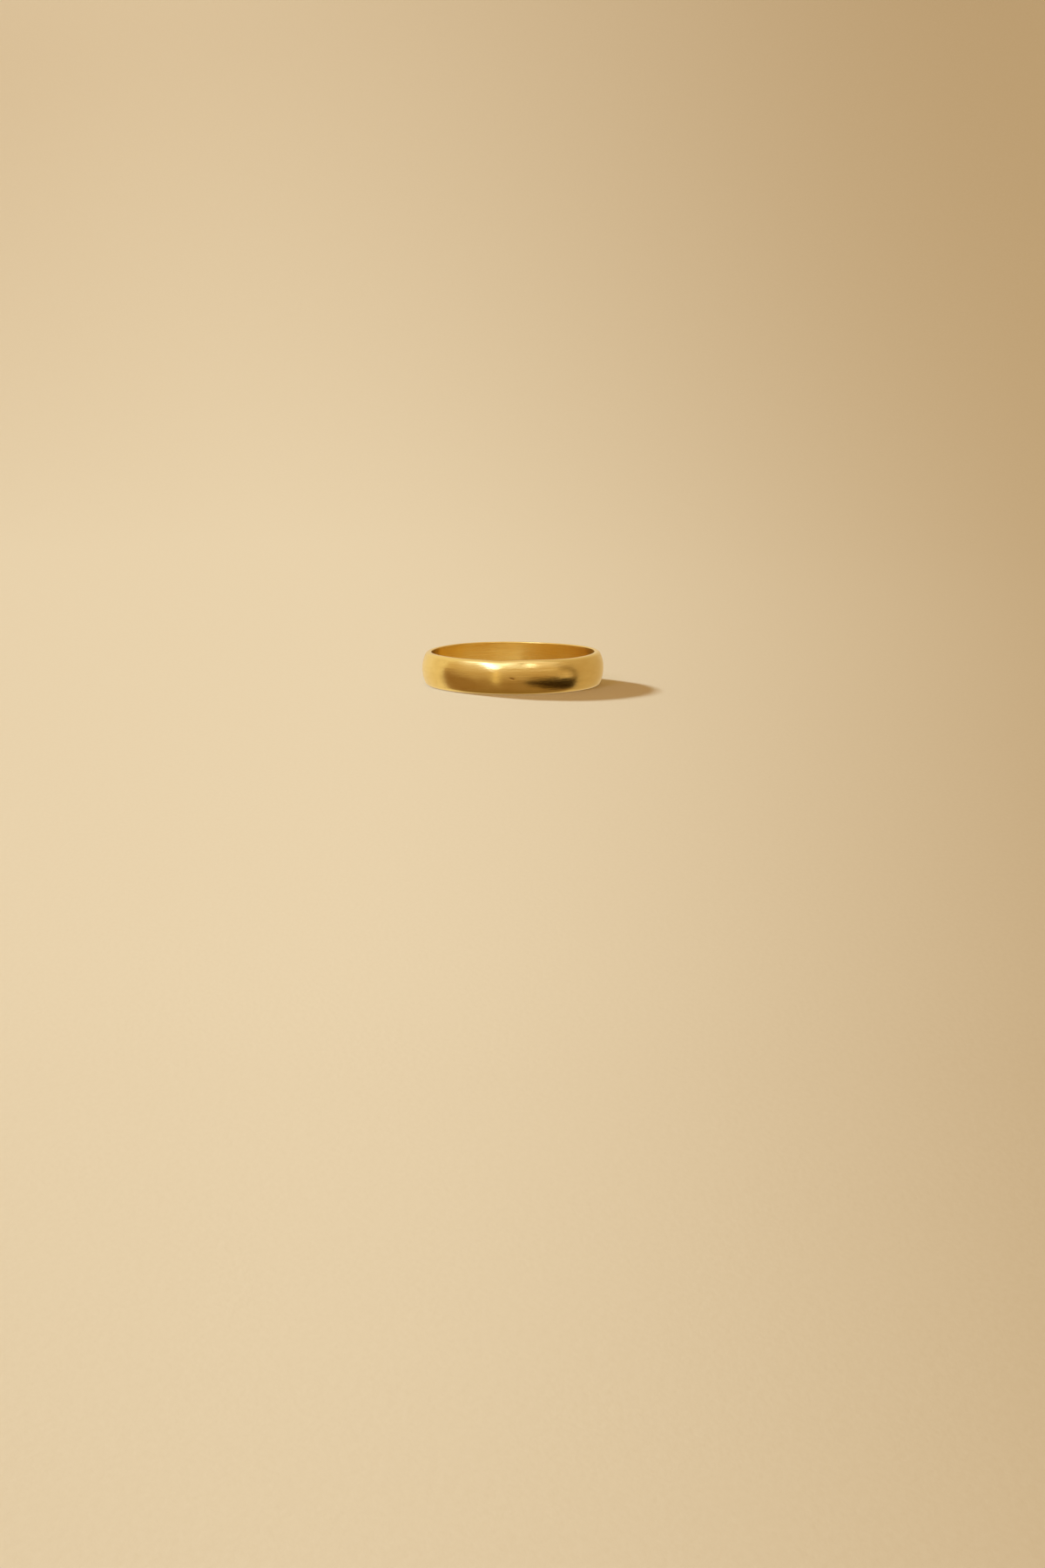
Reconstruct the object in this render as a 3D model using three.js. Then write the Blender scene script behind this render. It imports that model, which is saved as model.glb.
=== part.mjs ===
// A plain gold finger ring, forged and filed by hand from one strip of metal.
// One solid: a domed outer face, a straight inner face and two narrow rims with softly rounded corners.
// The ring lies on one rim. Its axis is Z, and the origin is the centre of the rim that it rests on.
// Millimetres, +Z up.
import * as THREE from "three";
import { mergeVertices } from "three/addons/utils/BufferGeometryUtils.js";

// Driving dimensions
const INNER_DIAMETER = 19.4; // the finger hole
const BAND_WIDTH = 3.95; // from rim to rim, along the axis
const CROWN_THICKNESS = 1.1; // wall at the middle of the dome
const RIM_THICKNESS = 0.56; // wall at a rim, before its corners are rounded
const OUTER_CORNER = 0.25; // rounding between a rim and the dome
const INNER_CORNER = 0.1; // rounding between a rim and the finger hole

// How finely the faces are divided
const STEPS_AROUND = 120;
const DOME_STEPS = 14;
const CORNER_STEPS = 3;
const HOLE_STEPS = 4;

// Where the file left the upper rim higher or lower. at and reach are degrees round the ring, rise is in mm.
// 0 degrees is the front of the ring, and angles grow towards its right.
const RIM_WAVES = [
  { at: -58, rise: 0.03, reach: 16 },
  { at: -9, rise: -0.08, reach: 6 },
  { at: 14, rise: 0.03, reach: 9 },
  { at: 44, rise: -0.04, reach: 12 },
  { at: 96, rise: 0.03, reach: 20 },
  { at: 148, rise: -0.04, reach: 14 },
  { at: 205, rise: 0.03, reach: 18 },
  { at: 262, rise: -0.04, reach: 16 },
];

// Shallow flats that the hammer left on the dome. height is a share of the band's width, and across is
// half the length of a flat, in mm.
const HAMMER_FLATS = [
  { at: -52, height: 0.42, depth: 0.022, across: 1.5 },
  { at: -24, height: 0.66, depth: 0.028, across: 1.3 },
  { at: 6, height: 0.6, depth: 0.03, across: 1.2 },
  { at: 30, height: 0.36, depth: 0.026, across: 1.6 },
  { at: 58, height: 0.58, depth: 0.024, across: 1.4 },
  { at: 92, height: 0.4, depth: 0.026, across: 1.6 },
  { at: 124, height: 0.62, depth: 0.03, across: 1.3 },
  { at: 158, height: 0.45, depth: 0.022, across: 1.7 },
  { at: 190, height: 0.6, depth: 0.028, across: 1.4 },
  { at: 226, height: 0.38, depth: 0.026, across: 1.5 },
  { at: 262, height: 0.6, depth: 0.024, across: 1.4 },
  { at: 288, height: 0.4, depth: 0.03, across: 1.3 },
];

// Worked out from the driving dimensions
const innerRadius = INNER_DIAMETER / 2;
const outerRadius = innerRadius + CROWN_THICKNESS;
const halfWidth = BAND_WIDTH / 2;
const domeRise = CROWN_THICKNESS - RIM_THICKNESS;
const domeRadius = (halfWidth ** 2 + domeRise ** 2) / (2 * domeRise);
const domeCentre = outerRadius - domeRadius;

// Points along an arc in the plane of the section, where x is the distance from the axis and y the height.
function arc(x, y, radius, fromAngle, toAngle, steps) {
  const clockwise = toAngle < fromAngle;
  return new THREE.EllipseCurve(x, y, radius, radius, fromAngle, toAngle, clockwise).getPoints(steps);
}

// The section through the band, anticlockwise from the lower rim and closed on its first point.
function bandSection() {
  const cornerReach = domeRadius - OUTER_CORNER;
  const cornerDrop = halfWidth - OUTER_CORNER;
  const cornerX = domeCentre + Math.sqrt(cornerReach ** 2 - cornerDrop ** 2);
  const cornerAngle = Math.asin(cornerDrop / cornerReach);
  const rightAngle = Math.PI / 2;
  const innerX = innerRadius + INNER_CORNER;
  const hole = [];
  for (let step = 1; step < HOLE_STEPS; step++) {
    const down = (BAND_WIDTH - 2 * INNER_CORNER) * (step / HOLE_STEPS);
    hole.push(new THREE.Vector2(innerRadius, BAND_WIDTH - INNER_CORNER - down));
  }
  const dome = arc(domeCentre, halfWidth, domeRadius, -cornerAngle, cornerAngle, DOME_STEPS);
  const section = [
    ...arc(cornerX, OUTER_CORNER, OUTER_CORNER, -rightAngle, -cornerAngle, CORNER_STEPS),
    ...dome.slice(1, -1),
    ...arc(cornerX, BAND_WIDTH - OUTER_CORNER, OUTER_CORNER, cornerAngle, rightAngle, CORNER_STEPS),
    ...arc(innerX, BAND_WIDTH - INNER_CORNER, INNER_CORNER, rightAngle, Math.PI, CORNER_STEPS),
    ...hole,
    ...arc(innerX, INNER_CORNER, INNER_CORNER, Math.PI, Math.PI + rightAngle, CORNER_STEPS),
  ];
  return [...section, section[0].clone()];
}

// The shortest way round from one angle to another, in degrees.
function turn(degrees, from) {
  return THREE.MathUtils.euclideanModulo(degrees - from + 180, 360) - 180;
}

function bell(distance, reach) {
  return Math.exp(-0.5 * (distance / reach) ** 2);
}

// How much higher than the plain band the upper rim stands at this angle.
function rimRise(degrees) {
  return RIM_WAVES.reduce((sum, wave) => sum + wave.rise * bell(turn(degrees, wave.at), wave.reach), 0);
}

// How deep the hammer's flats go at this place on the dome.
function flatDepth(degrees, height) {
  return HAMMER_FLATS.reduce((sum, flat) => {
    const along = THREE.MathUtils.degToRad(turn(degrees, flat.at)) * outerRadius;
    const up = height - flat.height * BAND_WIDTH;
    return sum + flat.depth * bell(along, flat.across) * bell(up, flat.across / 2);
  }, 0);
}

// Turns the section round the axis, then works the upper rim and the dome as the hand tools did.
function bandGeometry() {
  const turned = new THREE.LatheGeometry(bandSection(), STEPS_AROUND);
  turned.rotateX(Math.PI / 2);
  turned.deleteAttribute("normal");
  turned.deleteAttribute("uv");
  const geometry = mergeVertices(turned, 1e-4);
  const place = geometry.getAttribute("position");
  for (let i = 0; i < place.count; i++) {
    const x = place.getX(i);
    const y = place.getY(i);
    const height = place.getZ(i);
    const radius = Math.hypot(x, y);
    const degrees = THREE.MathUtils.radToDeg(Math.atan2(x, -y));
    const onDome = THREE.MathUtils.smoothstep(radius, innerRadius + INNER_CORNER, innerRadius + RIM_THICKNESS);
    const worked = 1 - (onDome * flatDepth(degrees, height)) / radius;
    const lift = rimRise(degrees) * (height / BAND_WIDTH);
    place.setXYZ(i, x * worked, y * worked, height + lift);
  }
  geometry.computeVertexNormals();
  return geometry;
}

const gold = new THREE.MeshStandardMaterial({
  name: "satin_gold",
  color: new THREE.Color().setRGB(0.95, 0.72, 0.3),
  metalness: 1,
  roughness: 0.32,
});

const band = new THREE.Mesh(bandGeometry(), gold);
band.name = "band";

const ring = new THREE.Group();
ring.name = "ring";
ring.add(band);

export default ring;
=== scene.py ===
"""A plain satin gold finger ring lying on a cream paper sweep, laid out as an add-on."""
import math

import bmesh
import bpy
from bpy.props import FloatProperty, FloatVectorProperty, IntProperty, PointerProperty
from bpy.types import Operator, Panel, PropertyGroup
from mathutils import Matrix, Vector, noise


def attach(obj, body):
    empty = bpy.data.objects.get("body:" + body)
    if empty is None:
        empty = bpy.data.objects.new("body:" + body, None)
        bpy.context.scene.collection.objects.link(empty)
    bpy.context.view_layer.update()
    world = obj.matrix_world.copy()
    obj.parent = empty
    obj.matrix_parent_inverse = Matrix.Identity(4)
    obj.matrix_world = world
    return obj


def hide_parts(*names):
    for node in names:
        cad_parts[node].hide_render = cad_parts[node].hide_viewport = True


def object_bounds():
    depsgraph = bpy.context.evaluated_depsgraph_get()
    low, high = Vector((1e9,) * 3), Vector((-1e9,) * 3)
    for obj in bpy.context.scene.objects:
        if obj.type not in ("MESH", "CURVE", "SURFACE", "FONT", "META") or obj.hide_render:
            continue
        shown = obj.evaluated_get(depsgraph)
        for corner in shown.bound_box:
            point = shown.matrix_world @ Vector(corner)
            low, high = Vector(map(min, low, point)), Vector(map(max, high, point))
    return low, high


bl_info = {
    "name": "Satin Gold Ring",
    "version": (1, 0, 0),
    "blender": (4, 5, 0),
    "location": "3D View > Sidebar > Ring",
    "description": "Forges a half-round gold band and sets it on a paper sweep",
    "category": "Object",
}

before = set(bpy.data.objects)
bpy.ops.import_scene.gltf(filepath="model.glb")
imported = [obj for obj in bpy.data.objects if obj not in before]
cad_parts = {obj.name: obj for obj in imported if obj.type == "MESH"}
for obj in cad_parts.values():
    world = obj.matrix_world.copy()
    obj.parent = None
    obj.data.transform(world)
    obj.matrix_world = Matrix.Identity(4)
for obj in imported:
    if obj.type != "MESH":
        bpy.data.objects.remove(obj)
cad_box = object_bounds()

MM = 0.001

# Where the file left the upper rim higher or lower. at and reach are degrees round the ring, rise is in
# mm. 0 degrees is the front of the ring, and angles grow towards its right.
RIM_WAVES = (
    {"at": -58, "rise": 0.03, "reach": 16},
    {"at": -9, "rise": -0.08, "reach": 6},
    {"at": 14, "rise": 0.03, "reach": 9},
    {"at": 44, "rise": -0.04, "reach": 12},
    {"at": 96, "rise": 0.03, "reach": 20},
    {"at": 148, "rise": -0.04, "reach": 14},
    {"at": 205, "rise": 0.03, "reach": 18},
    {"at": 262, "rise": -0.04, "reach": 16},
)

# Shallow flats that the hammer left on the dome. height is a share of the band's width. depth is in mm,
# and so is across, half the length of a flat, which is twice as long as it is high.
HAMMER_FLATS = (
    {"at": -52, "height": 0.42, "depth": 0.022, "across": 1.5},
    {"at": -24, "height": 0.66, "depth": 0.028, "across": 1.3},
    {"at": 6, "height": 0.6, "depth": 0.03, "across": 1.2},
    {"at": 30, "height": 0.36, "depth": 0.026, "across": 1.6},
    {"at": 58, "height": 0.58, "depth": 0.024, "across": 1.4},
    {"at": 92, "height": 0.4, "depth": 0.026, "across": 1.6},
    {"at": 124, "height": 0.62, "depth": 0.03, "across": 1.3},
    {"at": 158, "height": 0.45, "depth": 0.022, "across": 1.7},
    {"at": 190, "height": 0.6, "depth": 0.028, "across": 1.4},
    {"at": 226, "height": 0.38, "depth": 0.026, "across": 1.5},
    {"at": 262, "height": 0.6, "depth": 0.024, "across": 1.4},
    {"at": 288, "height": 0.4, "depth": 0.03, "across": 1.3},
)

# The one sharp dent, near the middle of the front. at is in degrees and its sizes are in mm: height is its
# middle's, long and high are about half of its own, and slope is how far it climbs for its length.
NOTCH = {"at": -0.5, "height": 1.92, "depth": 0.03, "long": 0.24, "high": 0.07, "slope": -0.22}

# The notch is darkened from start, and wholly at end. Both are squares of the distance from the notch's
# middle, counted in its long and high. share is how dark it gets.
NOTCH_DARKENING = {"start": 2.6, "end": 0.4, "share": 0.85}

# The small unevenness of the dome, and the waves in the finger hole. length is that of a lump in mm, and
# share is how strong it is. height_share draws the waves out along the ring's axis, and start is where in
# the noise they begin.
DOME_LUMPS = ({"length": 1.6, "share": 1.0}, {"length": 0.7, "share": 0.4})
HOLE_WAVES = {"length": 1.9, "height_share": 0.35, "start": (7, 3, 5)}

# How finely the band's corners and tall faces are divided. Points of the band nearer than SAME_POINT are
# one, and a hoop of edges lies within SAME_RADIUS of its distance from the axis, both in metres.
OUTER_CORNER_STEPS = 6
INNER_CORNER_STEPS = 4
ROW_CUTS = 43
SAME_POINT = 1e-7
SAME_RADIUS = 1e-6

# Noise patterns of the gold, from 0 to 1. scale is how many lumps go into a metre, and stretch is the share
# of them that is left along x, y and z, so that a small x and y draw them out into lines round the band.
# detail is how many finer layers there are, rough is how strong they are, and shift moves a pattern.
MARKS = {
    "grain": {"scale": 9000, "stretch": (1.0, 1.0, 1.0), "detail": 3.0, "rough": 0.75, "shift": 0.0},
    "brush": {"scale": 8000, "stretch": (0.09, 0.09, 1.0), "detail": 3.0, "rough": 0.65, "shift": 0.0},
    "long_brush": {"scale": 3000, "stretch": (0.05, 0.05, 1.0), "detail": 2.0, "rough": 0.5, "shift": 0.05},
    "mottle": {"scale": 1500, "stretch": (0.3, 0.3, 1.0), "detail": 3.0, "rough": 0.6, "shift": 0.07},
    "patches": {"scale": 320, "stretch": (1.0, 1.0, 1.0), "detail": 3.0, "rough": 0.5, "shift": 0.02},
    "stains": {"scale": 300, "stretch": (1.0, 1.0, 0.35), "detail": 2.0, "rough": 0.5, "shift": 0.027},
    "strokes": {"scale": 210, "stretch": (1.0, 1.0, 1.0), "detail": 1.0, "rough": 0.5, "shift": 0.061},
    "broad": {"scale": 130, "stretch": (1.0, 1.0, 1.0), "detail": 2.0, "rough": 0.5, "shift": 0.08},
}
NOISE_MIDDLE = 0.5

# How deep the marks are, in mm. plain is all over the dome, firm is what a firm stroke of the brush adds,
# and in_hole is the share that is left in the finger hole. A stroke is firm from start to end of the value
# of strokes.
MARK_DEPTHS = (
    {"mark": "grain", "plain": 0.0015, "firm": 0.0, "in_hole": 1 / 3},
    {"mark": "mottle", "plain": 0.018, "firm": 0.0, "in_hole": 1 / 3},
    {"mark": "brush", "plain": 0.008, "firm": 0.006, "in_hole": 0.4},
    {"mark": "long_brush", "plain": 0.011, "firm": 0.01, "in_hole": 0.4},
)
FIRM_STROKES = {"start": 0.42, "end": 0.66}

# The share of every mark that wear takes off a rim.
RIM_SMOOTHING = 0.7

# How far the roughness goes up and down with a mark, and how much rougher the finger hole is.
SATIN_SPREAD = {"patches": 0.1, "long_brush": 0.12, "grain": 0.08}
HOLE_ROUGHNESS = 0.03

# How much dull film the marks bring to the dome, from start to end of a mark's value. Where the mottle is
# above or below its middle, it brings more film or less.
FILM_MARKS = (
    {"mark": "patches", "start": 0.42, "end": 0.72, "film": 0.5},
    {"mark": "broad", "start": 0.4, "end": 0.7, "film": 0.35},
)
FILM_MOTTLE = {"middle": 0.45, "film": 1.2}

# The dull film in the finger hole, all over it and in its stains from start to end of their value, and a
# painted shade that darkens it towards the upper rim from upward_from, a share of the band's width.
HOLE_FILM_AND_SHADE = {"plain": 0.3, "stains": 0.3, "upward": 0.3, "upward_from": 0.35}
HOLE_STAINS = {"start": 0.36, "end": 0.64}

# Painted reflection in the finger hole: darker and brighter patches on its wall, which stand in for the
# shaded and lit paper that it mirrors. at and reach are degrees round the ring, and film is how much darker
# a patch is made, and how much brighter where it is below 0.
HOLE_PAINTED_REFLECTIONS = (
    {"at": 208, "reach": 26, "film": 0.45},
    {"at": 175, "reach": 13, "film": -0.5},
    {"at": 152, "reach": 10, "film": 0.2},
    {"at": 131, "reach": 17, "film": -0.5},
    {"at": 111, "reach": 14, "film": -0.3},
)

# Where a rim's wear begins and is whole, in roundings of the outer corner from the rim's face, and where
# the finish of the finger hole begins and is whole, in mm from its wall.
RIM_WEAR = {"start": 1.4, "end": 0.2}
HOLE_EDGE = {"start": 0.06, "end": 0.01}

# Painted shade on the paper, in place of a soft pool of light that falls off. Where the paper dims, in
# metres: in a fan that opens to the right from a point in front of the ring, and towards the front. start
# and end are where it begins and is whole, and share is how much it dims. The fan's are metres across for
# each metre from its point, ease rounds it off there, and far_shift is what the far paper adds to them.
PAPER_SHADE_FAN = {"point": 0.45, "ease": 0.035, "start": -0.055, "end": 0.21, "share": 0.72, "far_shift": 0.06}
PAPER_FAR = {"start": 0.0, "end": 0.7}
PAPER_FRONT_SHADE = {"start": -0.16, "end": -0.4, "share": 0.3}

# The painted shade's depth: the share of its colour that the dimmest paper keeps.
PAPER_PAINTED_SHADE = (0.458, 0.331, 0.174)

# The paper's fibres, with the same columns as the gold's patterns, how much they dim it, and how deep they
# are, in mm.
FIBRES = {"scale": 2500, "stretch": (1.0, 0.4, 1.0), "detail": 4.0, "rough": 0.5, "shift": 0.0}
FIBRE_SHADE = 0.06
FIBRE_DEPTH = 0.012

PAPER_ROUGHNESS = 0.9
PAPER_GLOSS = 0.1

# How finely the paper sweep is divided, and the distance in metres under which two of its points are one.
COVE_STEPS = 32
SWEEP_STEPS = 96
SAME_PAPER_POINT = 1e-6

# The linear colours of the room that the metal mirrors, and of the soft light that falls on the paper.
ROOM = {
    "brown_low": (0.31, 0.172, 0.06),
    "brown_high": (0.68, 0.46, 0.22),
    "brown_floor": (0.2, 0.108, 0.025),
    "cream_left": (0.84, 0.67, 0.43),
    "cream_right": (0.53, 0.355, 0.175),
    "underside": (0.26, 0.15, 0.045),
    "paper_light": (0.5, 0.295, 0.08),
}

# Where one of them gives way to the next, from -1 to 1: up for the browns and the underside, to the right
# for the creams, and away from the front for the edge between brown and cream, which leans.
BROWN_RISE = {"start": -0.5, "end": 0.6}
BROWN_FLOOR = {"start": -0.72, "end": -0.86}
CREAM_ACROSS = {"start": -0.5, "end": 0.9}
CREAM_EDGE = {"start": 0.0, "end": 0.1, "lean_right": 0.1, "lean_up": 0.25}
UNDERSIDE = {"start": -0.74, "end": -0.9}

# What else the metal mirrors. at is degrees from the front towards the right, up is degrees above the
# floor, wide and high are half a card's size in degrees, tilt turns it, soft is the share of its size over
# which it fades, and light is its linear colour. Later cards lie over earlier ones.
# These hang in the brown room in front of the ring.
FRONT_CARDS = (
    {"name": "dim_corner", "at": -88, "up": -24, "wide": 34, "high": 26, "tilt": 0, "soft": 0.3,
     "light": (0.28, 0.145, 0.045)},
    {"name": "glow", "at": -22, "up": 0, "wide": 3.6, "high": 24, "tilt": 0, "soft": 1.6,
     "light": (1.0, 0.74, 0.36)},
    {"name": "low_dark", "at": 63, "up": -27, "wide": 45, "high": 15.5, "tilt": -3, "soft": 0.25,
     "light": (0.018, 0.007, 0.0)},
    {"name": "right_streak", "at": 85, "up": 4, "wide": 5, "high": 22, "tilt": 10, "soft": 0.9,
     "light": (0.12, 0.06, 0.012)},
    {"name": "slanting_streak", "at": 70, "up": 19, "wide": 3.5, "high": 15, "tilt": 28, "soft": 1.0,
     "light": (0.15, 0.07, 0.02)},
    {"name": "pale_band", "at": 69, "up": -7, "wide": 11, "high": 5, "tilt": 0, "soft": 0.8,
     "light": (0.72, 0.5, 0.27)},
)

# These hang high, over the brown room and the cream one.
HIGH_CARDS = (
    {"name": "high_glow", "at": -10, "up": 62, "wide": 48, "high": 36, "tilt": 0, "soft": 0.45,
     "light": (0.98, 0.86, 0.76)},
    {"name": "right_glow", "at": 46, "up": 46, "wide": 22, "high": 12, "tilt": -8, "soft": 0.6,
     "light": (0.88, 0.68, 0.52)},
    {"name": "upper_light", "at": -42, "up": 52, "wide": 26, "high": 12, "tilt": 0, "soft": 0.7,
     "light": (1.5, 1.45, 1.6)},
    {"name": "main_light", "at": -34, "up": 37, "wide": 14, "high": 6.5, "tilt": -45, "soft": 0.6,
     "light": (3.6, 3.8, 5.0)},
    {"name": "dim_gap", "at": 14, "up": 46, "wide": 3.5, "high": 12, "tilt": 0, "soft": 0.9,
     "light": (0.62, 0.46, 0.28)},
    {"name": "small_light", "at": 25, "up": 36, "wide": 5, "high": 6.5, "tilt": 0, "soft": 0.8,
     "light": (2.7, 2.7, 3.1)},
)

# A card's light shows only on its own side of the room, from start to end of how far a direction faces it.
CARD_SIDE = {"start": 0.0, "end": 0.1}

# The lamps, which only the paper and the ring's shadow show. The sun comes from behind the ring's left,
# and the fill comes from the camera's side and keeps the paper's far rise as bright as its floor. spread
# is a lamp's width in degrees, and from_side is the direction that its light comes from.
LAMP_COLOUR = (0.83, 0.975, 1.0)
LAMPS = (
    {"name": "low_sun", "energy": 4.1, "spread": 6, "from_side": (-0.62, 0.55, 0.36), "shadow": True},
    {"name": "fill_light", "energy": 2.3, "spread": 0.526, "from_side": (0, -1, 0.02), "shadow": False},
)

# The photograph's frame, and the ring's middle in it from the upper left corner, in pixels. The film is in
# mm, and the camera sees what lies between the two clips, in metres.
FRAME_WIDTH = 1200
FRAME_HEIGHT = 1800
RING_ACROSS = 589
RING_DOWN = 766
FILM_WIDTH = 36
NEAR_CLIP = 0.01
FAR_CLIP = 10


class BandSettings(PropertyGroup):
    """The sizes of the forged band."""

    inner_diameter: FloatProperty(
        name="Finger Hole", description="Width of the finger hole", default=19.4 * MM,
        unit="LENGTH", precision=5,
    )
    band_width: FloatProperty(
        name="Band Width", description="From rim to rim", default=3.95 * MM,
        unit="LENGTH", precision=5,
    )
    crown: FloatProperty(
        name="Crown", description="Wall at the middle of the dome", default=1.1 * MM,
        unit="LENGTH", precision=5,
    )
    rim: FloatProperty(
        name="Rim", description="Wall at a rim, before its corners", default=0.56 * MM,
        unit="LENGTH", precision=5,
    )
    outer_corner: FloatProperty(
        name="Outer Corner", description="Rounding to the dome", default=0.25 * MM,
        unit="LENGTH", precision=5,
    )
    inner_corner: FloatProperty(
        name="Inner Corner", description="Rounding to the hole", default=0.1 * MM,
        unit="LENGTH", precision=5,
    )
    planish: FloatProperty(
        name="Planishing", description="Depth of the small unevenness", default=0.006 * MM,
        unit="LENGTH", precision=6,
    )
    inside_waves: FloatProperty(
        name="Inside Waves", description="Depth of the waves in the hole", default=0.045 * MM,
        unit="LENGTH", precision=6,
    )
    steps_around: IntProperty(
        name="Steps Around", description="Divisions round the ring", default=720, min=24
    )


class GoldSettings(PropertyGroup):
    """The finish of the gold."""

    gold: FloatVectorProperty(
        name="Gold", description="Colour of the clean metal", default=(1.0, 0.82, 0.35),
        subtype="COLOR", size=3,
    )
    film: FloatVectorProperty(
        name="Film", description="Colour of the metal where it has dulled", default=(0.9, 0.68, 0.24),
        subtype="COLOR", size=3,
    )
    dark_in_notch: FloatVectorProperty(
        name="Dark In Notch", description="Colour of the dark in the notch", default=(0.45, 0.24, 0.07),
        subtype="COLOR", size=3,
    )
    satin: FloatProperty(
        name="Satin", description="Roughness of the brushed metal", default=0.21,
        min=0, max=1, subtype="FACTOR",
    )
    polish: FloatProperty(
        name="Polish", description="Roughness of the worn rims", default=0.14,
        min=0, max=1, subtype="FACTOR",
    )


class StageSettings(PropertyGroup):
    """The paper sweep and the camera."""

    paper: FloatVectorProperty(
        name="Paper", description="Colour of the paper", default=(0.85, 0.775, 0.64),
        subtype="COLOR", size=3,
    )
    floor_radius: FloatProperty(
        name="Floor", description="Radius of the flat floor", default=0.2, unit="LENGTH"
    )
    cove_radius: FloatProperty(
        name="Cove", description="Radius of the cove", default=0.9, unit="LENGTH"
    )
    wall_height: FloatProperty(
        name="Wall", description="Height of the wall", default=1.0, unit="LENGTH"
    )
    lens: FloatProperty(name="Lens", description="Focal length", default=85, unit="CAMERA")
    distance: FloatProperty(
        name="Distance", description="From camera to ring", default=0.441, unit="LENGTH"
    )
    elevation: FloatProperty(
        name="Elevation", description="Camera above the ring", default=math.radians(6.8), subtype="ANGLE"
    )


class Value:
    """A number that changes over a surface. Sums written with it add the Math nodes that work them out."""

    def __init__(self, nodes, socket):
        self.nodes = nodes
        self.socket = socket

    def __add__(self, other):
        return self.nodes.maths("ADD", self, other)

    def __radd__(self, other):
        return self.nodes.maths("ADD", other, self)

    def __sub__(self, other):
        return self.nodes.maths("SUBTRACT", self, other)

    def __rsub__(self, other):
        return self.nodes.maths("SUBTRACT", other, self)

    def __mul__(self, other):
        return self.nodes.maths("MULTIPLY", self, other)

    def __rmul__(self, other):
        return self.nodes.maths("MULTIPLY", other, self)

    def __truediv__(self, other):
        return self.nodes.maths("DIVIDE", self, other)

    def __rtruediv__(self, other):
        return self.nodes.maths("DIVIDE", other, self)

    def __neg__(self):
        return self.nodes.maths("MULTIPLY", self, -1.0)

    def __pow__(self, power):
        return self.nodes.maths("POWER", self, power)

    def fade(self, start, end):
        """0 at start and 1 at end, with a soft turn at both."""
        sockets = {"Value": self, "From Min": start, "From Max": end, "To Min": 0.0, "To Max": 1.0}
        if start > end:
            sockets.update({"From Min": end, "From Max": start, "To Min": 1.0, "To Max": 0.0})
        return self.nodes.add("ShaderNodeMapRange", {"interpolation_type": "SMOOTHSTEP"}, sockets)

    def fade_over(self, row):
        """The fade between the start and the end that a table's row gives."""
        return self.fade(row["start"], row["end"])


class Nodes:
    """Adds nodes to one node tree."""

    # A Mix node's sockets for colours, by number, because its sockets for other values have the same names.
    FIRST_COLOUR = 6
    SECOND_COLOUR = 7
    MIXED_COLOUR = 2

    def __init__(self, tree):
        self.tree = tree
        tree.nodes.clear()

    def add(self, kind, settings=None, sockets=None, output=0):
        """Adds a node, sets it up, fills its sockets with values or links, and gives one of its outputs."""
        node = self.tree.nodes.new(kind)
        for name, value in (settings or {}).items():
            setattr(node, name, value)
        for name, value in (sockets or {}).items():
            if isinstance(value, Value):
                self.tree.links.new(value.socket, node.inputs[name])
            else:
                node.inputs[name].default_value = value
        return Value(self, node.outputs[output]) if len(node.outputs) else node

    def maths(self, operation, *values):
        return self.add("ShaderNodeMath", {"operation": operation}, dict(enumerate(values)))

    def split(self, vector):
        """The three numbers of a vector."""
        parts = self.add("ShaderNodeSeparateXYZ", {}, {"Vector": vector})
        return [Value(self, socket) for socket in parts.socket.node.outputs]

    def join(self, x, y, z):
        return self.add("ShaderNodeCombineXYZ", {}, {"X": x, "Y": y, "Z": z})

    def vector_maths(self, operation, first, second, output=0):
        return self.add("ShaderNodeVectorMath", {"operation": operation}, {0: first, 1: second}, output)

    def dot(self, vector, axis):
        return self.vector_maths("DOT_PRODUCT", vector, tuple(axis), output="Value")

    def pattern(self, vector, row):
        """Soft noise from 0 to 1, as a table's row gives it."""
        stretched = self.vector_maths("MULTIPLY", vector, row["stretch"])
        moved = self.vector_maths("ADD", stretched, (row["shift"],) * 3)
        sockets = {"Vector": moved, "Scale": row["scale"]}
        sockets.update({"Detail": row["detail"], "Roughness": row["rough"]})
        return self.add("ShaderNodeTexNoise", {}, sockets)

    def blend(self, share, first, second):
        """A colour that goes from first to second as share goes from 0 to 1."""
        settings = {"data_type": "RGBA", "clamp_factor": True}
        sockets = {0: share, self.FIRST_COLOUR: first, self.SECOND_COLOUR: second}
        return self.add("ShaderNodeMix", settings, sockets, self.MIXED_COLOUR)


class BandPlace:
    """Where a point of the band is: its place, its distance from the axis, and its way round the dome."""

    def __init__(self, nodes, band):
        self.point = nodes.add("ShaderNodeTexCoord", {}, {}, output="Object")
        self.x, self.y, self.z = nodes.split(self.point)
        self.radius = nodes.maths("SQRT", self.x * self.x + self.y * self.y)
        self.along = nodes.maths("ARCTAN2", self.x, -self.y) * (band.inner_diameter / 2 + band.crown)


def rgba(colour):
    return (*colour, 1)


def bell(distance, reach):
    return math.exp(-0.5 * (distance / reach) ** 2)


def soft_turn(share):
    """0 up to 0 and 1 from 1, with a soft turn at both."""
    share = min(max(share, 0), 1)
    return share * share * (3 - 2 * share)


def turn(degrees, start):
    """The shortest way round from one angle to another, in degrees."""
    return (degrees - start + 180) % 360 - 180


def rim_rise(degrees):
    """How much higher than the plain band the upper rim stands at this angle, in metres."""
    return MM * sum(wave["rise"] * bell(turn(degrees, wave["at"]), wave["reach"]) for wave in RIM_WAVES)


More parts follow.
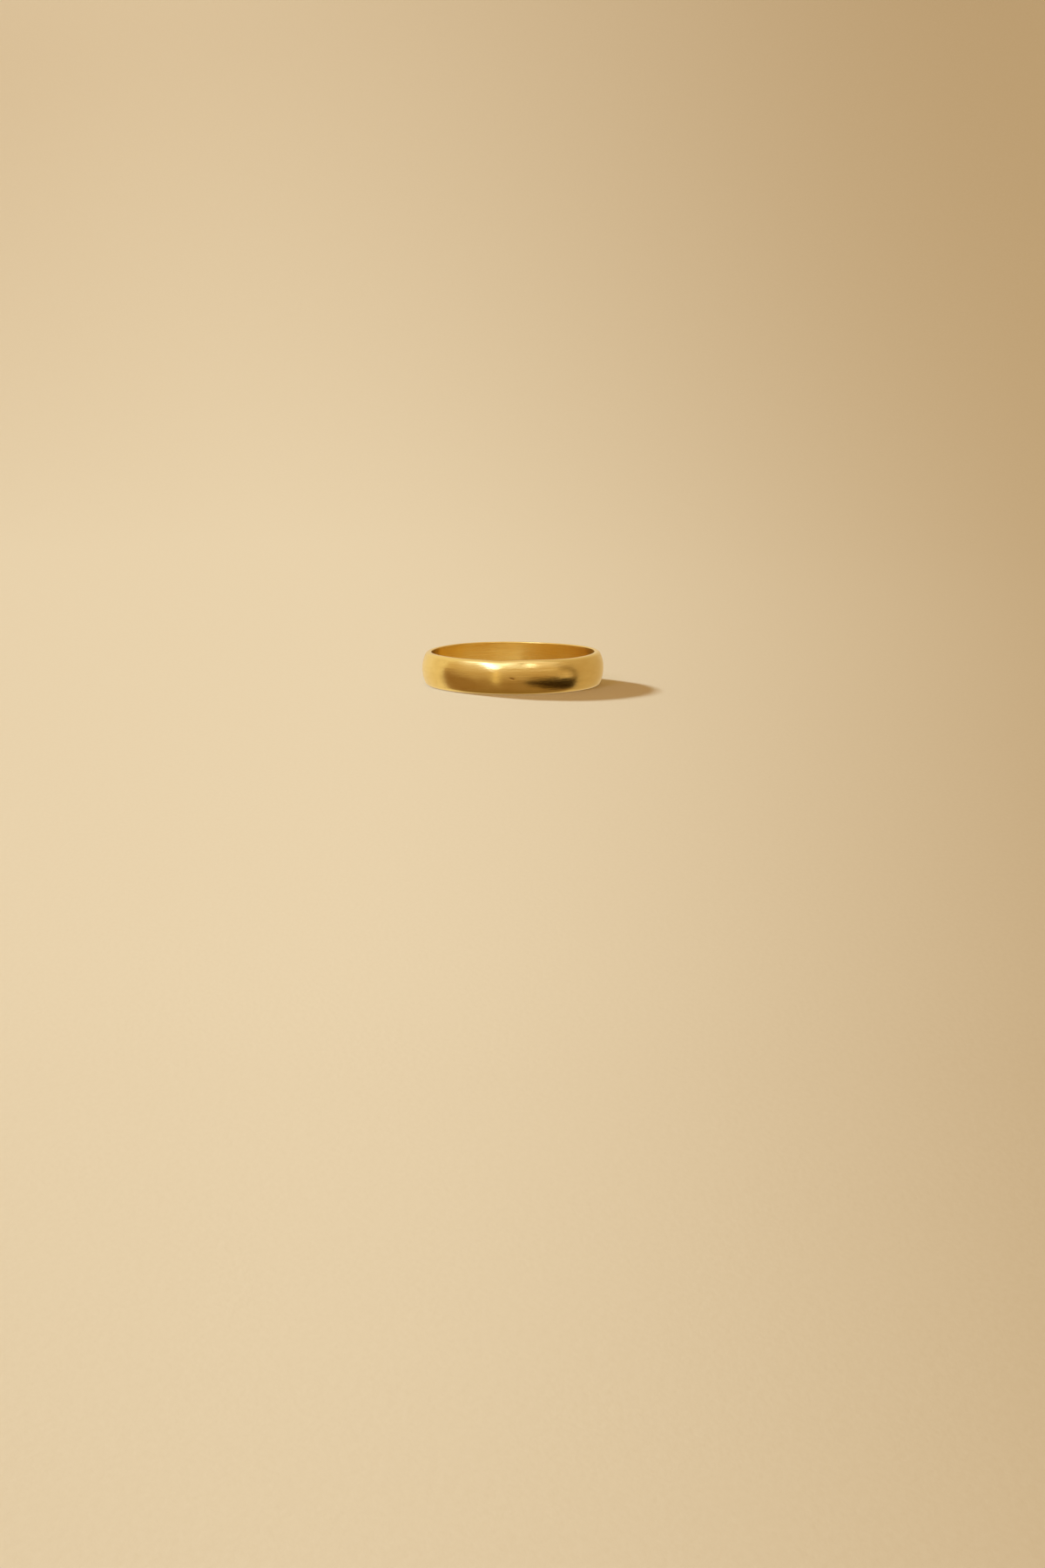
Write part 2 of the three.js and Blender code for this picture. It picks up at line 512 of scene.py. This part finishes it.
def flat_depth(degrees, height, outer_radius, width):
    """How deep the hammer's flats go at this place on the dome, in metres."""
    depth = 0.0
    for flat in HAMMER_FLATS:
        along = math.radians(turn(degrees, flat["at"])) * outer_radius / MM
        up = (height - flat["height"] * width) / MM
        depth += flat["depth"] * bell(along, flat["across"]) * bell(up, flat["across"] / 2)
    return depth * MM


def notch_depth(degrees, height, outer_radius):
    """How deep the one sharp dent is at this place, in metres. It runs mostly along the band."""
    along = math.radians(turn(degrees, NOTCH["at"])) * outer_radius / MM
    up = height / MM - NOTCH["height"] - NOTCH["slope"] * along
    return NOTCH["depth"] * bell(along, NOTCH["long"]) * bell(up, NOTCH["high"]) * MM


def dome_unevenness(place):
    """How far the small unevenness goes in at this place on the dome, as a share of its depth."""
    return sum(lump["share"] * noise.noise(place / (lump["length"] * MM)) for lump in DOME_LUMPS)


def hole_unevenness(place):
    """How far the waves in the finger hole go out at this place, as a share of their depth."""
    x, y, height = place
    drawn_out = Vector((x, y, HOLE_WAVES["height_share"] * height)) / (HOLE_WAVES["length"] * MM)
    return noise.noise(drawn_out + Vector(HOLE_WAVES["start"]))


def add_piece(name, bm, material):
    """Makes a bmesh into a smooth object that sits at the origin."""
    bmesh.ops.recalc_face_normals(bm, faces=bm.faces)
    mesh = bpy.data.meshes.new(name)
    bm.to_mesh(mesh)
    bm.free()
    mesh.shade_smooth()
    mesh.materials.append(material)
    piece = bpy.data.objects.new(name, mesh)
    bpy.context.scene.collection.objects.link(piece)
    return piece


def round_corners(bm, radius, rounding, steps):
    """Rounds the two hoops of edges that lie at this distance from the axis."""
    hoops = [
        edge for edge in bm.edges
        if all(abs(vert.co.xy.length - radius) < SAME_RADIUS for vert in edge.verts)
        and abs(edge.verts[0].co.z - edge.verts[1].co.z) < SAME_POINT
    ]
    bmesh.ops.bevel(
        bm, geom=hoops, offset=rounding, offset_type="OFFSET", affect="EDGES", segments=steps,
        profile=0.5, material=-1,
    )


def band_strip(bm, settings):
    """The strip bent round into a plain hoop, then its four square corners rounded."""
    inner = settings.inner_diameter / 2
    outer = inner + settings.rim
    width = settings.band_width
    section = ((0, -inner, 0), (0, -outer, 0), (0, -outer, width), (0, -inner, width))
    corners = [bm.verts.new(place) for place in section]
    sides = [bm.edges.new((corners[i], corners[i - 1])) for i in range(len(corners))]
    bmesh.ops.spin(
        bm, geom=corners + sides, cent=(0, 0, 0), axis=(0, 0, 1), angle=math.tau,
        steps=settings.steps_around, use_merge=True,
    )
    bmesh.ops.remove_doubles(bm, verts=bm.verts, dist=SAME_POINT)
    round_corners(bm, outer, settings.outer_corner, OUTER_CORNER_STEPS)
    round_corners(bm, inner, settings.inner_corner, INNER_CORNER_STEPS)


def divide_faces(bm, settings):
    """Cuts the two tall faces into rows, so that they can be domed and worked."""
    half = settings.band_width / 2
    uprights = [edge for edge in bm.edges if abs(edge.verts[0].co.z - edge.verts[1].co.z) > half]
    bmesh.ops.subdivide_edges(bm, edges=uprights, cuts=ROW_CUTS, use_grid_fill=True)


def dome_band(bm, settings):
    """Swells the outer face into its dome."""
    inner = settings.inner_diameter / 2
    half = settings.band_width / 2
    rise = settings.crown - settings.rim
    curve = (half ** 2 + rise ** 2) / (2 * rise)
    for vert in bm.verts:
        radius = vert.co.xy.length
        share = (radius - inner) / settings.rim
        swell = math.sqrt(curve ** 2 - (vert.co.z - half) ** 2) - (curve - rise)
        vert.co.xy *= 1 + share * swell / radius


def work_band(bm, settings):
    """Leaves what the hand tools did: waves in the hole, a worked dome, and waves on the upper rim."""
    inner = settings.inner_diameter / 2
    outer = inner + settings.crown
    width = settings.band_width
    dome_start = inner + settings.inner_corner
    dome_reach = settings.rim - settings.inner_corner
    for vert in bm.verts:
        place = vert.co.copy()
        x, y, height = place
        radius = math.hypot(x, y)
        degrees = math.degrees(math.atan2(x, -y))
        in_hole = max(1 - (radius - inner) / settings.inner_corner, 0)
        vert.co.xy *= 1 + in_hole * settings.inside_waves * hole_unevenness(place) / radius
        on_dome = soft_turn((radius - dome_start) / dome_reach)
        depth = flat_depth(degrees, height, outer, width) + settings.planish * dome_unevenness(place)
        depth += notch_depth(degrees, height, outer)
        vert.co.xy *= 1 - on_dome * depth / radius
        vert.co.z += rim_rise(degrees) * height / width


def gold_zones(nodes, place, band):
    """Which share of a point is worn rim, and which is the wall of the finger hole."""
    inner = band.inner_diameter / 2
    top = band.band_width
    begins = RIM_WEAR["start"] * band.outer_corner
    whole = RIM_WEAR["end"] * band.outer_corner
    near_rim = nodes.maths("MAXIMUM", place.z.fade(begins, whole), place.z.fade(top - begins, top - whole))
    hole = place.radius.fade(inner + HOLE_EDGE["start"] * MM, inner + HOLE_EDGE["end"] * MM)
    return near_rim * (1 - hole), hole


def dome_film(marks):
    """How much of the dull film the dome has."""
    film = (marks["mottle"] - FILM_MOTTLE["middle"]) * FILM_MOTTLE["film"]
    for row in FILM_MARKS:
        film = film + marks[row["mark"]].fade_over(row) * row["film"]
    return film


def hole_film_and_painted_light(nodes, place, marks, band):
    """How much of the dull film the wall of the finger hole has, with its painted shade and painted
    reflections.
    """
    top = band.band_width
    film = HOLE_FILM_AND_SHADE["plain"] + HOLE_FILM_AND_SHADE["stains"] * marks["stains"].fade_over(HOLE_STAINS)
    # Painted shade: the wall of the hole darkens towards the upper rim.
    film = film + HOLE_FILM_AND_SHADE["upward"] * place.z.fade(HOLE_FILM_AND_SHADE["upward_from"] * top, top)
    outward = nodes.join(place.x / place.radius, place.y / place.radius, 0.0)
    # Painted reflection: darker and brighter patches for the shaded and lit paper that the hole mirrors.
    for patch in HOLE_PAINTED_REFLECTIONS:
        at = math.radians(patch["at"])
        edge = math.cos(math.radians(patch["reach"]))
        film = film + patch["film"] * nodes.dot(outward, (math.sin(at), -math.cos(at), 0)).fade(edge, 1.0)
    return film


def notch_darkening(place, band):
    """How much a point is darkened in the notch."""
    outer = band.inner_diameter / 2 + band.crown
    along = place.along / MM - math.radians(NOTCH["at"]) * outer / MM
    up = place.z / MM - NOTCH["height"] - NOTCH["slope"] * along
    away = (along / NOTCH["long"]) ** 2.0 + (up / NOTCH["high"]) ** 2.0
    return away.fade_over(NOTCH_DARKENING) * NOTCH_DARKENING["share"]


def mark_height(marks, worn, hole):
    """How high the marks leave the surface, in mm."""
    firm = marks["strokes"].fade_over(FIRM_STROKES)
    height = 0.0
    for row in MARK_DEPTHS:
        depth = row["plain"] + row["firm"] * firm
        height = height + marks[row["mark"]] * depth * (1 - (1 - row["in_hole"]) * hole)
    return height * (1 - RIM_SMOOTHING * worn)


def satin_gold(settings, band):
    """Softly brushed gold: fine grain, brush lines round the band, dull film in patches, and worn rims. The
    finger hole has painted shade and painted reflections, and the notch is darkened.
    """
    material = bpy.data.materials.new("satin_gold")
    material.use_nodes = True
    nodes = Nodes(material.node_tree)
    place = BandPlace(nodes, band)
    marks = {name: nodes.pattern(place.point, row) for name, row in MARKS.items()}
    worn, hole = gold_zones(nodes, place, band)
    film = dome_film(marks) * (1 - worn) * (1 - hole) + hole_film_and_painted_light(nodes, place, marks, band) * hole
    colour = nodes.blend(film, rgba(settings.gold), rgba(settings.film))
    # Darkens the notch.
    colour = nodes.blend(notch_darkening(place, band) * (1 - hole), colour, rgba(settings.dark_in_notch))
    satin = settings.satin
    for name, spread in SATIN_SPREAD.items():
        satin = satin + (marks[name] - NOISE_MIDDLE) * spread
    roughness = satin * (1 - worn) + worn * settings.polish + hole * HOLE_ROUGHNESS
    height = mark_height(marks, worn, hole)
    bump = nodes.add("ShaderNodeBump", {}, {"Height": height, "Distance": MM, "Strength": 1.0})
    finish = {"Metallic": 1.0, "Roughness": roughness}
    metal = nodes.add("ShaderNodeBsdfPrincipled", {}, {"Base Color": colour, "Normal": bump, **finish})
    nodes.add("ShaderNodeOutputMaterial", {}, {"Surface": metal})
    return material


def cream_paper(settings):
    """Smooth cream paper with a faint tooth, and painted shade that dims it to the right and towards the
    front.
    """
    material = bpy.data.materials.new("cream_paper")
    material.use_nodes = True
    nodes = Nodes(material.node_tree)
    place = nodes.add("ShaderNodeTexCoord", {}, {}, output="Object")
    right, away, _ = nodes.split(place)
    across = right / nodes.maths("SQRT", (away + PAPER_SHADE_FAN["point"]) ** 2.0 + PAPER_SHADE_FAN["ease"])
    in_fan = (across + away.fade_over(PAPER_FAR) * PAPER_SHADE_FAN["far_shift"]).fade_over(PAPER_SHADE_FAN)
    in_front = away.fade_over(PAPER_FRONT_SHADE)
    # Painted light and shade: a pool of light on the paper, dimmed in the fan and towards the front.
    lit = (1 - PAPER_SHADE_FAN["share"] * in_fan) * (1 - PAPER_FRONT_SHADE["share"] * in_front)
    fibres = nodes.pattern(place, FIBRES)
    dim = [share * channel for share, channel in zip(PAPER_PAINTED_SHADE, settings.paper)]
    colour = nodes.blend(lit - fibres * FIBRE_SHADE, rgba(dim), rgba(settings.paper))
    tooth = {"Height": fibres, "Distance": FIBRE_DEPTH * MM, "Strength": 1.0}
    bump = nodes.add("ShaderNodeBump", {}, tooth)
    finish = {"Roughness": PAPER_ROUGHNESS, "Specular IOR Level": PAPER_GLOSS}
    paper = nodes.add("ShaderNodeBsdfPrincipled", {}, {"Base Color": colour, "Normal": bump, **finish})
    nodes.add("ShaderNodeOutputMaterial", {}, {"Surface": paper})
    return material


def sweep_mesh(settings, hole_radius):
    """Flat paper round the finger hole that curves up into a wall without an edge."""
    bm = bmesh.new()
    hole = bm.verts.new((hole_radius, 0, 0))
    corner = bm.verts.new((settings.floor_radius, 0, 0))
    cove = bmesh.ops.spin(
        bm, geom=[corner], cent=(settings.floor_radius, 0, settings.cove_radius), axis=(0, -1, 0),
        angle=math.pi / 2, steps=COVE_STEPS,
    )
    lip = next(item for item in cove["geom_last"] if isinstance(item, bmesh.types.BMVert))
    top = bm.verts.new((lip.co.x, 0, settings.wall_height))
    bm.edges.new((hole, corner))
    bm.edges.new((lip, top))
    bmesh.ops.spin(
        bm, geom=bm.verts[:] + bm.edges[:], cent=(0, 0, 0), axis=(0, 0, 1), angle=math.tau,
        steps=SWEEP_STEPS, use_merge=True,
    )
    bmesh.ops.remove_doubles(bm, verts=bm.verts, dist=SAME_PAPER_POINT)
    return bm


def paper_sweep(settings, hole_radius):
    """Lays the paper in two sheets, because the gold mirrors only the one inside the finger hole."""
    paper = cream_paper(settings)
    sweep = add_piece("paper_sweep", sweep_mesh(settings, hole_radius), paper)
    bm = bmesh.new()
    bmesh.ops.create_circle(bm, cap_ends=True, radius=hole_radius, segments=SWEEP_STEPS)
    disc = add_piece("paper_in_hole", bm, paper)
    sweep.visible_glossy = False
    for sheet in (sweep, disc):
        sheet.visible_shadow = False
        sheet.visible_diffuse = False


def card_axes(card):
    """Which way a card lies, and its own right and up, as directions in the room."""
    at, up, tilt = (math.radians(card[name]) for name in ("at", "up", "tilt"))
    ahead = Vector((math.sin(at) * math.cos(up), -math.cos(at) * math.cos(up), math.sin(up)))
    right = Vector((math.cos(at), math.sin(at), 0))
    upward = ahead.cross(right)
    turned_right = right * math.cos(tilt) + upward * math.sin(tilt)
    turned_up = upward * math.cos(tilt) - right * math.sin(tilt)
    return ahead, turned_right, turned_up


def hang_cards(nodes, look, colour, cards):
    """Lays soft oval cards over a colour, by how far the direction is from each card's middle."""
    for card in cards:
        ahead, right, upward = (nodes.dot(look, axis) for axis in card_axes(card))
        wide, high = (math.sin(math.radians(card[name])) for name in ("wide", "high"))
        reach = nodes.maths("SQRT", (right / wide) ** 2.0 + (upward / high) ** 2.0)
        share = reach.fade(1.0 + card["soft"] / 2, 1.0 - card["soft"] / 2) * ahead.fade_over(CARD_SIDE)
        colour = nodes.blend(share, colour, rgba(card["light"]))
    return colour


def room_light():
    """The room that the metal mirrors, brown in front and cream behind, and the paper's soft light."""
    world = bpy.data.worlds.new("room")
    bpy.context.scene.world = world
    world.use_nodes = True
    nodes = Nodes(world.node_tree)
    tone = {name: rgba(colour) for name, colour in ROOM.items()}
    look = nodes.add("ShaderNodeTexCoord", {}, {}, output="Generated")
    right, away, up = nodes.split(look)
    brown = nodes.blend(up.fade_over(BROWN_RISE), tone["brown_low"], tone["brown_high"])
    brown = nodes.blend(up.fade_over(BROWN_FLOOR), brown, tone["brown_floor"])
    cream = nodes.blend(right.fade_over(CREAM_ACROSS), tone["cream_left"], tone["cream_right"])
    behind = away + right * CREAM_EDGE["lean_right"] + up * CREAM_EDGE["lean_up"]
    colour = hang_cards(nodes, look, brown, FRONT_CARDS)
    colour = nodes.blend(behind.fade_over(CREAM_EDGE), colour, cream)
    colour = hang_cards(nodes, look, colour, HIGH_CARDS)
    colour = nodes.blend(up.fade_over(UNDERSIDE), colour, tone["underside"])
    mirrored = nodes.add("ShaderNodeBackground", {}, {"Color": colour, "Strength": 1.0})
    soft_light = nodes.add("ShaderNodeBackground", {}, {"Color": tone["paper_light"], "Strength": 1.0})
    on_paper = nodes.add("ShaderNodeLightPath", {}, {}, output="Is Diffuse Ray")
    room = nodes.add("ShaderNodeMixShader", {}, {0: on_paper, 1: mirrored, 2: soft_light})
    nodes.add("ShaderNodeOutputWorld", {}, {"Surface": room})


def hang_lamp(row):
    """Adds one of the lamps, which the gold doesn't mirror."""
    light = bpy.data.lights.new(row["name"], "SUN")
    light.energy = row["energy"]
    light.angle = math.radians(row["spread"])
    light.color = LAMP_COLOUR
    light.use_shadow = row["shadow"]
    lamp = bpy.data.objects.new(row["name"], light)
    bpy.context.scene.collection.objects.link(lamp)
    lamp.rotation_euler = Vector(row["from_side"]).to_track_quat("Z", "Y").to_euler()
    lamp.visible_glossy = False


def place_camera(settings):
    """The photograph's view, with the ring a little above the middle of the frame."""
    low, high = cad_box
    centre = (low + high) / 2
    data = bpy.data.cameras.new("camera")
    data.lens = settings.lens
    data.sensor_width = FILM_WIDTH
    data.clip_start = NEAR_CLIP
    data.clip_end = FAR_CLIP
    camera = bpy.data.objects.new("camera", data)
    bpy.context.scene.collection.objects.link(camera)
    pixels = settings.lens / FILM_WIDTH * FRAME_HEIGHT
    drop = math.atan((FRAME_HEIGHT / 2 - RING_DOWN) / pixels)
    swing = math.atan((FRAME_WIDTH / 2 - RING_ACROSS) / pixels)
    tilt = settings.elevation
    back = Vector((0, -math.cos(tilt), math.sin(tilt)))
    aim = Vector((math.sin(swing), math.cos(tilt + drop), -math.sin(tilt + drop)))
    camera.location = centre + back * settings.distance
    camera.rotation_euler = aim.to_track_quat("-Z", "Y").to_euler()
    bpy.context.scene.camera = camera


class RING_OT_forge_band(Operator):
    """Forge the half-round band and give it its satin gold finish"""

    bl_idname = "ring.forge_band"
    bl_label = "Forge Band"

    def execute(self, context):
        settings = context.scene.ring_band
        bm = bmesh.new()
        band_strip(bm, settings)
        divide_faces(bm, settings)
        dome_band(bm, settings)
        work_band(bm, settings)
        band = add_piece("gold_band", bm, satin_gold(context.scene.ring_gold, settings))
        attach(band, "root")
        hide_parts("band")
        return {"FINISHED"}


class RING_OT_set_stage(Operator):
    """Lay the paper sweep, light it and place the camera"""

    bl_idname = "ring.set_stage"
    bl_label = "Set Stage"

    def execute(self, context):
        settings = context.scene.ring_stage
        paper_sweep(settings, context.scene.ring_band.inner_diameter / 2)
        room_light()
        for row in LAMPS:
            hang_lamp(row)
        place_camera(settings)
        context.scene.view_settings.view_transform = "Standard"
        return {"FINISHED"}


class RING_PT_workbench(Panel):
    """Sizes, finish and stage of the ring"""

    bl_idname = "RING_PT_workbench"
    bl_label = "Ring"
    bl_space_type = "VIEW_3D"
    bl_region_type = "UI"
    bl_category = "Ring"

    def draw(self, context):
        scene = context.scene
        groups = (
            (scene.ring_band, RING_OT_forge_band),
            (scene.ring_gold, None),
            (scene.ring_stage, RING_OT_set_stage),
        )
        for settings, operator in groups:
            box = self.layout.box()
            for name in type(settings).__annotations__:
                box.prop(settings, name)
            if operator:
                box.operator(operator.bl_idname)


CLASSES = (
    BandSettings,
    GoldSettings,
    StageSettings,
    RING_OT_forge_band,
    RING_OT_set_stage,
    RING_PT_workbench,
)


def register():
    for item in CLASSES:
        bpy.utils.register_class(item)
    bpy.types.Scene.ring_band = PointerProperty(type=BandSettings)
    bpy.types.Scene.ring_gold = PointerProperty(type=GoldSettings)
    bpy.types.Scene.ring_stage = PointerProperty(type=StageSettings)


def unregister():
    del bpy.types.Scene.ring_stage
    del bpy.types.Scene.ring_gold
    del bpy.types.Scene.ring_band
    for item in reversed(CLASSES):
        bpy.utils.unregister_class(item)


def main():
    register()
    bpy.ops.ring.forge_band()
    bpy.ops.ring.set_stage()


if __name__ == "__main__":
    main()
